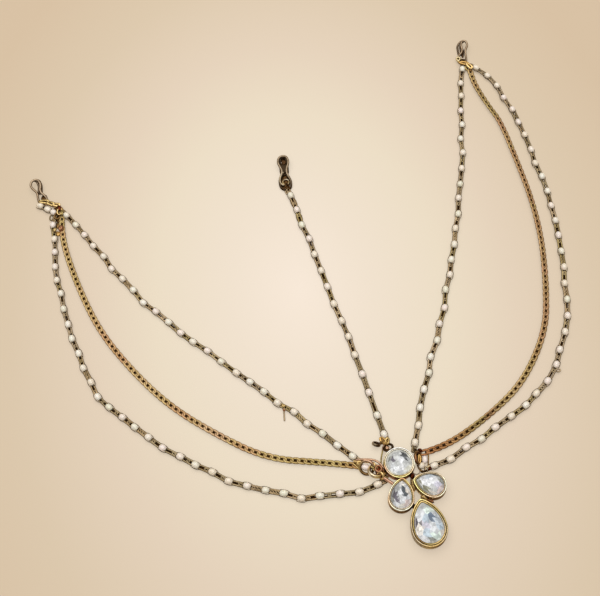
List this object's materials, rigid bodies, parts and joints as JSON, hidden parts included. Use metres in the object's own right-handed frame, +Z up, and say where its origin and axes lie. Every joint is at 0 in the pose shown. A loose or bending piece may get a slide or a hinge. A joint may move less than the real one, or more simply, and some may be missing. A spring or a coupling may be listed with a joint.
{
  "type": "maang tikka head chain",
  "caption": "Head chain: a soldered pendant of clear bezel-set stones, pearl-and-link strands, flat curb chains and wire hooks that hold it in the hair.",
  "frame": {"origin": "centre of the round setting's flat back, on the surface the head chain lies on", "axes": "+Z up, out of the stones' faces; +Y from the pendant towards the hooks; +X to the right of it, seen from above"},
  "size_m": [0.2482, 0.2509, 0.0058],
  "materials": {
    "gold": "polished gold plating, darker in the corners",
    "crystal": "polished, faceted, foiled behind",
    "ring_gold": "gold plating, worn and browned",
    "antique_gold": "antiqued wire, satin",
    "pearl_strand": "pearl lustre, with antique flat links between",
    "curb_gold": "gold plating, dark inside the links"
  },
  "bodies": {
    "root": {"setting_frame": "gold", "round_stone": "crystal", "left_pear_stone": "crystal", "right_pear_stone": "crystal", "large_pear_stone": "crystal", "top_ring": "ring_gold", "left_ring_outer": "ring_gold", "left_ring_inner": "ring_gold", "right_ring": "ring_gold", "centre_hook_ring": "ring_gold", "left_hook": "antique_gold", "centre_hook": "antique_gold", "right_hook": "antique_gold", "centre_pearl_strand": "pearl_strand", "left_inner_pearl_strand": "pearl_strand", "left_outer_pearl_strand": "pearl_strand", "right_inner_pearl_strand": "pearl_strand", "right_outer_pearl_strand": "pearl_strand", "left_curb_chain": "curb_gold", "right_curb_chain": "curb_gold"}
  },
  "joints": []
}
